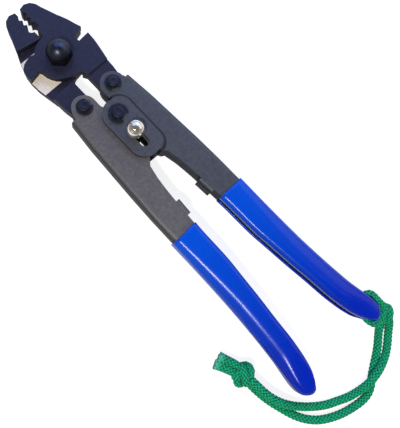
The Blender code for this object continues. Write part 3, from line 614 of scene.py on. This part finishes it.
def fineCurve(points):
    vectors = [Vector(point) for point in points]
    padded = [2 * vectors[0] - vectors[1], *vectors, 2 * vectors[-1] - vectors[-2]]
    steps = 16
    fine = []
    for before, start, end, after in zip(padded, padded[1:], padded[2:], padded[3:]):
        slope = end - before
        bend = 2 * before - 5 * start + 4 * end - after
        turn = 3 * start - before - 3 * end + after
        for index in range(steps):
            t = index / steps
            fine.append(0.5 * (2 * start + slope * t + bend * t * t + turn * t ** 3))
    fine.append(vectors[-1])
    return fine


def pathLength(route):
    return sum((end - start).length for start, end in zip(route, route[1:]))


def evenRoute(points, count):
    fine = fineCurve(points)
    lengths = [0.0]
    for start, end in zip(fine, fine[1:]):
        lengths.append(lengths[-1] + (end - start).length)
    result = []
    place = 0
    for index in range(count + 1):
        wanted = lengths[-1] * index / count
        while place < len(fine) - 2 and lengths[place + 1] < wanted:
            place += 1
        share = (wanted - lengths[place]) / (lengths[place + 1] - lengths[place])
        result.append(fine[place].lerp(fine[place + 1], min(1.0, share)))
    return result


def smoothRoute(points, step):
    return evenRoute(points, max(2, round(pathLength(fineCurve(points)) / step)))


# dipped grips: a skin from the flat side out over the bends, mirrored and given its wall

gripShape = {
    "outer": ((113.0, 24.84), (134.0, 25.3), (157.0, 26.2), (178.0, 27.6),
              (195.0, 29.3), (206.0, 30.9), (212.0, 31.5), (216.0, 31.0),
              (218.4, 28.8)),
    "inner": ((113.0, 10.3), (120.0, 10.7), (137.7, 11.1), (149.3, 12.1),
              (165.4, 13.6), (178.8, 15.1), (191.4, 16.3), (199.8, 17.6),
              (205.0, 18.7), (210.5, 20.4), (215.0, 22.9)),
    "bends": ((113.0, 2.7), (160.0, 5.2), (195.0, 5.2), (209.0, 3.2)),
    "stations": 64,
    "tipTurns": (10, 20, 30, 40, 50, 60, 70, 80),
    "bendTurns": (10, 20, 30, 40, 50, 60, 70, 80, 90),
    "fullness": 1.6,
    "narrowsOver": 16,
    "innerStarts": 12,
    "flatCuts": 5,
    "innerBend": (2.5, 2.7),
    "cover": 1.0,
    "wall": 0.75,
    "top": 7.3,
    "lip": 2.6,
    "crown": 0.4,
    "crownReach": 7.0,
    "hole": {"x": 207.2, "radius": 2.8, "beyond": 28.0, "reach": 5.0},
}


def routeNormals(route):
    normals = []
    for index in range(len(route)):
        along = (route[min(index + 1, len(route) - 1)] - route[max(index - 1, 0)]).normalized()
        normals.append(Vector((-along.y, along.x, 0)))
    return normals


def bendAt(x):
    bends = gripShape["bends"]
    for (start, low), (end, high) in zip(bends, bends[1:]):
        if x <= end:
            return low + (high - low) * max(0.0, x - start) / (end - start)
    return bends[-1][1]


# each column: start on the flat side, way out, width and depth of the bend, height of its end
def gripColumns():
    cover = gripShape["cover"]
    count = gripShape["stations"]
    columns = []
    outer = evenRoute([(x, y, 0) for x, y in gripShape["outer"]], count)
    for index, (point, normal) in enumerate(zip(outer, routeNormals(outer))):
        radius = bendAt(point.x)
        full = 1 + (gripShape["fullness"] - 1) * min(1.0, (count - index) / gripShape["narrowsOver"])
        bend = radius * full
        columns.append((point - normal * bend, normal, bend + cover, radius + cover, 0.0))
    tip, normal, bend, depth, _ = columns[-1]
    for turn in gripShape["tipTurns"]:
        turned = Matrix.Rotation(radians(-turn), 3, "Z") @ normal
        columns.append((tip, turned, bend, depth, gripShape["lip"]))
    inner = evenRoute([(x, y, 0) for x, y in gripShape["inner"]], count - 1)[::-1]
    wide, deep = gripShape["innerBend"]
    for index, (point, normal) in enumerate(zip(inner, routeNormals(inner))):
        bend = wide * min(1.0, index / gripShape["innerStarts"])
        columns.append((point - normal * bend, normal, bend + cover, deep, gripShape["lip"]))
    return columns


def extrudeRim(shape, rim, places):
    edges = [shape.edges.get(pair) for pair in zip(rim, rim[1:])]
    made = bmesh.ops.extrude_edge_only(shape, edges=edges)["geom"]
    fresh = {item for item in made if isinstance(item, bmesh.types.BMVert)}
    row = []
    for vert, place in zip(rim, places):
        ends = [edge.other_vert(vert) for edge in vert.link_edges]
        twin = next(end for end in ends if end in fresh)
        twin.co = place
        row.append(twin)
    return row


# the hole that the cord's loop goes in by, through the outer side
def cutCordHole(shape):
    hole = gripShape["hole"]

    def across(place):
        return Vector((place.x - hole["x"], place.z - midHeight))

    inside = [face for face in shape.faces if face.calc_center_median().y > hole["beyond"]
              and across(face.calc_center_median()).length < hole["radius"]]
    bmesh.ops.delete(shape, geom=inside, context="FACES")
    for vert in {vert for edge in shape.edges if edge.is_boundary for vert in edge.verts}:
        if vert.co.y > hole["beyond"] and across(vert.co).length < hole["reach"]:
            place = across(vert.co).normalized() * hole["radius"]
            vert.co.x = hole["x"] + place.x
            vert.co.z = midHeight + place.y


def gripSkin(way):
    columns = gripColumns()
    height = gripShape["top"]
    shape = bmesh.new()
    rim = [shape.verts.new((point.x, point.y, height)) for point, _, _, _, _ in columns]
    for pair in zip(rim, rim[1:]):
        shape.edges.new(pair)
    row = rim
    for turn in gripShape["bendTurns"]:
        angle = radians(turn)
        places = [point + normal * bend * sin(angle) + Vector((0, 0, height - depth * (1 - cos(angle))))
                  for point, normal, bend, depth, _ in columns]
        row = extrudeRim(shape, row, places)
    ends = [Vector((vert.co.x, vert.co.y, column[-1])) for vert, column in zip(row, columns)]
    extrudeRim(shape, row, ends)
    near = rim[:gripShape["stations"] + 1]
    far = rim[gripShape["stations"] + len(gripShape["tipTurns"]):]
    sides = [shape.edges.get(pair) for chain in (near, far) for pair in zip(chain, chain[1:])]
    border = [vert.co.copy() for vert in near + far]
    across = bmesh.ops.bridge_loops(shape, edges=sides)["edges"]
    divided = bmesh.ops.subdivide_edges(shape, edges=across, cuts=gripShape["flatCuts"],
                                        use_grid_fill=True)
    for vert in divided["geom_inner"]:
        if isinstance(vert, bmesh.types.BMVert):
            depth = min(min((vert.co - place).length for place in border) / gripShape["crownReach"], 1.0)
            vert.co.z += gripShape["crown"] * (1 - (1 - depth) ** 2)
    bmesh.ops.remove_doubles(shape, verts=shape.verts, dist=0.01)
    bmesh.ops.mirror(shape, geom=[*shape.verts, *shape.edges, *shape.faces], axis="Z", merge_dist=0.01)
    bmesh.ops.scale(shape, vec=(1, way, 1), verts=shape.verts)
    bmesh.ops.translate(shape, vec=(0, 0, midHeight), verts=shape.verts)
    bmesh.ops.recalc_face_normals(shape, faces=shape.faces)
    if way > 0:
        cutCordHole(shape)
    outward = sum(face.normal.z * face.calc_area() * (face.calc_center_median().z - midHeight)
                  for face in shape.faces)
    if outward < 0:
        bmesh.ops.reverse_faces(shape, faces=shape.faces)
    return shape


def addGrips():
    for name, node, way in (("gripFront", "grip_front", 1), ("gripRear", "grip_rear", -1)):
        piece = finishPiece(name, gripSkin(way), node, blueVinyl)
        wall = piece.modifiers.new("wall", "SOLIDIFY")
        wall.thickness = gripShape["wall"] * mm
        wall.offset = -1.0


addGrips()
print("grips dipped")


# braided cord: the same route as the frame's tubes

cordLook = {
    "radius": 2.2,
    "strands": 6,
    "pitch": 2.2,
    "relief": 0.85,
    "under": 0.6,
    "level": 0.75,
    "step": 0.3,
    "aroundEach": 7,
    # dark: painted shade for the grooves between the strands
    "dark": (0.0, 0.018, 0.009),
    "light": (0.002, 0.42, 0.18),
    "fibre": (0.01, 0.58, 0.28),
    "fibreScale": 2600.0,
    "knotRadius": 0.86,
    "tailRadii": (0.95, 1.22),
    "fray": 0.8,
    "frayFrom": 0.7,
    "cutEnd": (0.1, 0.55, 0.33),
}


def routeFrames(route):
    last = len(route) - 1
    ahead = [route[min(index + 1, last)] for index in range(last + 1)]
    behind = [route[max(index - 1, 0)] for index in range(last + 1)]
    tangents = [(end - start).normalized() for start, end in zip(behind, ahead)]
    side = tangents[0].orthogonal().normalized()
    frames = []
    for tangent in tangents:
        side = (side - tangent * side.dot(tangent)).normalized()
        frames.append((side, tangent.cross(side)))
    return frames


# two sets of strands wind opposite ways and pass over each other in turn
def plaitHeight(along, around):
    rising = around * cordLook["strands"] + along / cordLook["pitch"]
    falling = around * cordLook["strands"] - along / cordLook["pitch"]
    acrossRising = sqrt(max(0.0, 1 - (2 * (rising - floor(rising)) - 1) ** 2))
    acrossFalling = sqrt(max(0.0, 1 - (2 * (falling - floor(falling)) - 1) ** 2))
    under = cordLook["under"]
    if (floor(rising) + floor(falling)) % 2:
        return acrossRising * (under + (1 - under) * acrossFalling)
    return acrossFalling * (under + (1 - under) * acrossRising)


def braidedTube(name, node, route, startRadius=1.0, endRadius=1.0, fray=0.0):
    frames = routeFrames(route)
    last = len(route) - 1
    around = cordLook["strands"] * cordLook["aroundEach"]
    shape = bmesh.new()
    depthLayer = shape.verts.layers.float.new("plaitDepth")
    frayLayer = shape.verts.layers.float.new("frayed")
    shape.loops.layers.uv.new("UVMap")
    bmesh.ops.create_grid(shape, x_segments=last, y_segments=around, size=1.0, calc_uvs=True)
    travelled = [0.0]
    for start, end in zip(route, route[1:]):
        travelled.append(travelled[-1] + (end - start).length)
    for vert in shape.verts:
        ring = round((vert.co.x + 1) / 2 * last)
        share = (vert.co.y + 1) / 2
        height = plaitHeight(travelled[ring], share % 1.0)
        flare = startRadius + (endRadius - startRadius) * ring / last
        radius = (cordLook["radius"] + cordLook["relief"] * (height - cordLook["level"])) * flare
        side, other = frames[ring]
        turn = share * tau
        outward = side * cos(turn) + other * sin(turn)
        loose = fray * max(0.0, ring / last - cordLook["frayFrom"])
        ragged = loose * (sin(turn * 11) + sin(turn * 17 + 1))
        vert.co = route[ring] + outward * radius + side.cross(other) * ragged
        vert[depthLayer] = height
        vert[frayLayer] = min(1.0, 4.0 * loose)
    bmesh.ops.remove_doubles(shape, verts=shape.verts, dist=0.02)
    rims = [edge for edge in shape.edges if edge.is_boundary]
    bmesh.ops.holes_fill(shape, edges=rims, sides=0)
    bmesh.ops.recalc_face_normals(shape, faces=shape.faces)
    return finishPiece(name, shape, node, braidMaterial)


def makeBraidMaterial(look):
    material, tree, shader = newMaterial("greenBraid", Roughness=0.8, Specular_IOR_Level=0.2,
                                         Sheen_Weight=0.08)
    depth = addNode(tree, "ShaderNodeAttribute", (-900, 200), attribute_name="plaitDepth")
    places = addNode(tree, "ShaderNodeTexCoord", (-900, -150))
    fibres = addNode(tree, "ShaderNodeTexNoise", (-650, -100))
    setInputs(fibres, Scale=look["fibreScale"], Detail=3.0, Roughness=0.7)
    tree.links.new(places.outputs["Object"], fibres.inputs["Vector"])
    # painted shade: low places of the plait (the grooves between strands) are coloured dark, raised
    # strands light
    raised = spread(tree, (-600, 250), depth.outputs["Fac"], 0.4, 0.9, 0.0, 1.0)
    grooveShaded = mixColour(tree, (-350, 200), raised, look["dark"], look["light"])
    threads = spread(tree, (-400, -100), fibres.outputs["Fac"], 0.5, 0.8, 0.0, 0.5)
    cut = addNode(tree, "ShaderNodeAttribute", (-400, 450), attribute_name="frayed")
    woven = mixColour(tree, (-150, 150), threads, grooveShaded, look["fibre"])
    colour = mixColour(tree, (100, 200), cut.outputs["Fac"], woven, look["cutEnd"])
    tree.links.new(colour, shader.inputs["Base Color"])
    addBump(tree, shader, fibres.outputs["Fac"], 0.5, 0.00012)
    return material


braidMaterial = makeBraidMaterial(cordLook)

wristCord = {
    "loop": ((222.2, 34.8, 7.8), (220.5, 35.3, 8.8), (218.8, 35.6, 9.6), (216.3, 35.3, 10.2),
             (213.2, 35.2, 10.5), (210.4, 35.1, 10.6), (208.2, 33.9, 10.6), (207.3, 31.2, 10.6),
             (207.5, 28.3, 10.6), (208.9, 25.8, 10.6), (211.5, 24.3, 10.6), (214.6, 23.7, 10.6),
             (217.9, 23.6, 10.6), (220.9, 24.5, 10.6), (222.8, 25.9, 9.7), (223.2, 27.3, 8.3),
             (223.6, 29.2, 7.0)),
    "inner": ((226.3, 29.1, 6.0), (227.5, 27.5, 4.9), (229.3, 25.7, 3.5), (231.5, 23.6, 2.5),
              (234.2, 20.2, 2.4), (237.2, 15.6, 2.4), (239.8, 10.9, 2.4), (242.6, 6.1, 2.4),
              (245.6, 1.8, 2.4), (247.5, -2.2, 2.4), (248.0, -6.8, 2.4), (247.1, -12.0, 2.4),
              (245.6, -17.2, 2.4), (243.5, -22.5, 2.4), (240.5, -27.9, 2.4), (236.7, -33.0, 2.4),
              (232.0, -37.1, 2.4), (227.0, -40.0, 2.4), (221.9, -42.0, 2.4), (216.2, -43.6, 2.4),
              (210.6, -45.0, 2.4), (205.4, -45.9, 2.5), (200.0, -46.4, 2.8), (195.7, -46.5, 3.2),
              (193.0, -46.4, 3.6)),
    "outer": ((228.5, 33.6, 6.2), (230.4, 32.8, 4.9), (232.6, 31.0, 3.4), (235.3, 28.1, 2.6),
              (238.6, 23.4, 2.8), (240.5, 17.9, 4.7), (241.6, 11.2, 6.8), (242.2, 5.1, 7.3),
              (242.7, -0.6, 5.9), (242.5, -5.9, 3.6), (240.9, -12.1, 2.5), (237.8, -18.2, 2.4),
              (234.2, -24.5, 2.4), (229.9, -29.8, 2.6), (224.7, -34.6, 3.7), (219.3, -38.6, 5.2),
              (213.6, -41.7, 6.8), (208.1, -43.6, 7.4), (202.9, -44.5, 7.8), (195.5, -44.9, 8.0),
              (192.8, -45.0, 7.6)),
    "tailUpper": ((184.6, -44.6, 5.2), (181.6, -45.2, 4.4), (177.5, -46.8, 3.6), (173.4, -48.3, 3.1)),
    "tailLower": ((185.2, -48.4, 5.0), (182.3, -49.4, 4.2), (178.3, -50.8, 3.4), (174.5, -52.6, 3.1)),
    "holeAcross": 31.0,
    "knotSteps": 72,
    "hitch": {
        "centre": (224.3, 33.7, 5.7),
        "ring": 3.0,
        "wrap": 1.9,
        "turns": (3, 2),
        "size": (1.3, 1.02, 0.72),
        "turn": 0.3,
    },
    "endKnot": {
        "centre": (188.8, -45.9, 5.5),
        "ring": 2.9,
        "wrap": 1.8,
        "turns": (3, 4),
        "size": (1.75, 1.12, 0.72),
        "turn": 0.25,
    },
}


# a stopper knot: the cord winds round a ring that stands across it
def knotRoute(look):
    turn = Matrix.Rotation(look["turn"], 3, "Z")
    size = Vector(look["size"])
    rounds, wraps = look["turns"]
    steps = wristCord["knotSteps"]
    points = []
    for index in range(steps + 1):
        t = tau * index / steps
        ring = look["ring"] + look["wrap"] * cos(wraps * t)
        place = Vector((look["wrap"] * sin(wraps * t), ring * cos(rounds * t), ring * sin(rounds * t)))
        points.append(turn @ (place * size) + Vector(look["centre"]))
    return smoothRoute(points, cordLook["step"])


def addCord():
    step = cordLook["step"]
    routes = {}
    for key, name, node in (("loop", "cordLoop", "lanyard_loop"),
                            ("inner", "cordInner", "lanyard_strand_inner"),
                            ("outer", "cordOuter", "lanyard_strand_outer")):
        routes[key] = smoothRoute(wristCord[key], step)
        braidedTube(name, node, routes[key])
    for key, name, node in (("tailUpper", "cordTailUpper", "lanyard_tail_upper"),
                            ("tailLower", "cordTailLower", "lanyard_tail_lower")):
        routes[key] = smoothRoute(wristCord[key], step)
        braidedTube(name, node, routes[key], *cordLook["tailRadii"], cordLook["fray"])
    for key, name, node in (("hitch", "cordHitch", "lanyard_hitch"),
                            ("endKnot", "cordEndKnot", "lanyard_knot")):
        routes[key] = knotRoute(wristCord[key])
        braidedTube(name, node, routes[key], cordLook["knotRadius"], cordLook["knotRadius"])


addCord()
print("cord braided")


# floor and light

stageLook = {
    "floorSize": 6.0,
    "floorColour": (0.4, 0.4, 0.4),
    "floorGlow": 0.84,
    "zenith": 0.1,
    "horizon": 0.4,
    "lamps": {
        "keyStrip": {
            "place": (0.22, -0.42, 0.76),
            "aim": (0.14, 0.0, 0.01),
            "size": (0.2, 0.036),
            "power": 4.4,
            "colour": (1.0, 1.0, 1.0),
        },
        "softBox": {
            "place": (0.16, 0.78, 0.52),
            "aim": (0.11, 0.0, 0.01),
            "size": (1.3, 0.7),
            "power": 2.9,
            "colour": (1.0, 1.0, 1.0),
        },
        "skyPanel": {
            "place": (-0.4, 0.36, 0.5),
            "aim": (0.02, 0.0, 0.01),
            "size": (0.8, 0.65),
            "power": 3.6,
            "colour": (0.25, 0.42, 1.0),
        },
        "warmBounce": {
            "place": (0.1, -0.6, 0.26),
            "aim": (0.06, 0.0, 0.01),
            "size": (0.3, 0.2),
            "power": 0.15,
            "colour": (1.0, 0.6, 0.32),
        },
    },
}


# rays that see the floor itself: straight from the camera, in a gloss or through glass
def seenDirectly(tree, place):
    rays = addNode(tree, "ShaderNodeLightPath", place).outputs
    x, y = place
    both = mathNode(tree, "MAXIMUM", (x + 200, y), rays["Is Camera Ray"], rays["Is Glossy Ray"])
    return mathNode(tree, "MAXIMUM", (x + 400, y), both, rays["Is Transmission Ray"])


def addFloor():
    shape = bmesh.new()
    bmesh.ops.create_grid(shape, x_segments=2, y_segments=2, size=stageLook["floorSize"] / 2)
    mesh = bpy.data.meshes.new("floor")
    shape.to_mesh(mesh)
    shape.free()
    floorPiece = bpy.data.objects.new("floor", mesh)
    scene.collection.objects.link(floorPiece)
    material, tree, shader = newMaterial("paleFloor", Roughness=0.9, Specular_IOR_Level=0.1)
    shader.inputs["Base Color"].default_value = (*stageLook["floorColour"], 1)
    shader.inputs["Emission Color"].default_value = (1, 1, 1, 1)
    seen = seenDirectly(tree, (-600, -300))
    glow = mathNode(tree, "MULTIPLY", (0, -300), seen, stageLook["floorGlow"])
    tree.links.new(glow, shader.inputs["Emission Strength"])
    mesh.materials.append(material)


# a studio that is dark overhead and pale all round
def addWorld():
    world = bpy.data.worlds.new("studio")
    world.use_nodes = True
    tree = world.node_tree
    places = addNode(tree, "ShaderNodeTexCoord", (-900, 0))
    split = addNode(tree, "ShaderNodeSeparateXYZ", (-700, 0))
    tree.links.new(places.outputs["Generated"], split.inputs[0])
    squared = mathNode(tree, "MULTIPLY", (-500, 0), split.outputs["Z"], split.outputs["Z"])
    strength = spread(tree, (-300, 0), squared, 0.0, 1.0, stageLook["horizon"], stageLook["zenith"])
    background = tree.nodes["Background"]
    setInputs(background, Color=(1, 1, 1, 1))
    tree.links.new(strength, background.inputs["Strength"])
    scene.world = world


def addLamps():
    for name, look in stageLook["lamps"].items():
        data = bpy.data.lights.new(name, "AREA")
        data.shape = "RECTANGLE"
        data.size, data.size_y = look["size"]
        data.energy = look["power"]
        data.color = look["colour"]
        lamp = bpy.data.objects.new(name, data)
        scene.collection.objects.link(lamp)
        lamp.location = look["place"]
        aim = Vector(look["aim"]) - Vector(look["place"])
        lamp.rotation_euler = aim.to_track_quat("-Z", "Y").to_euler()


addFloor()
addWorld()
addLamps()
scene.view_settings.view_transform = "Standard"
print("floor and light ready")
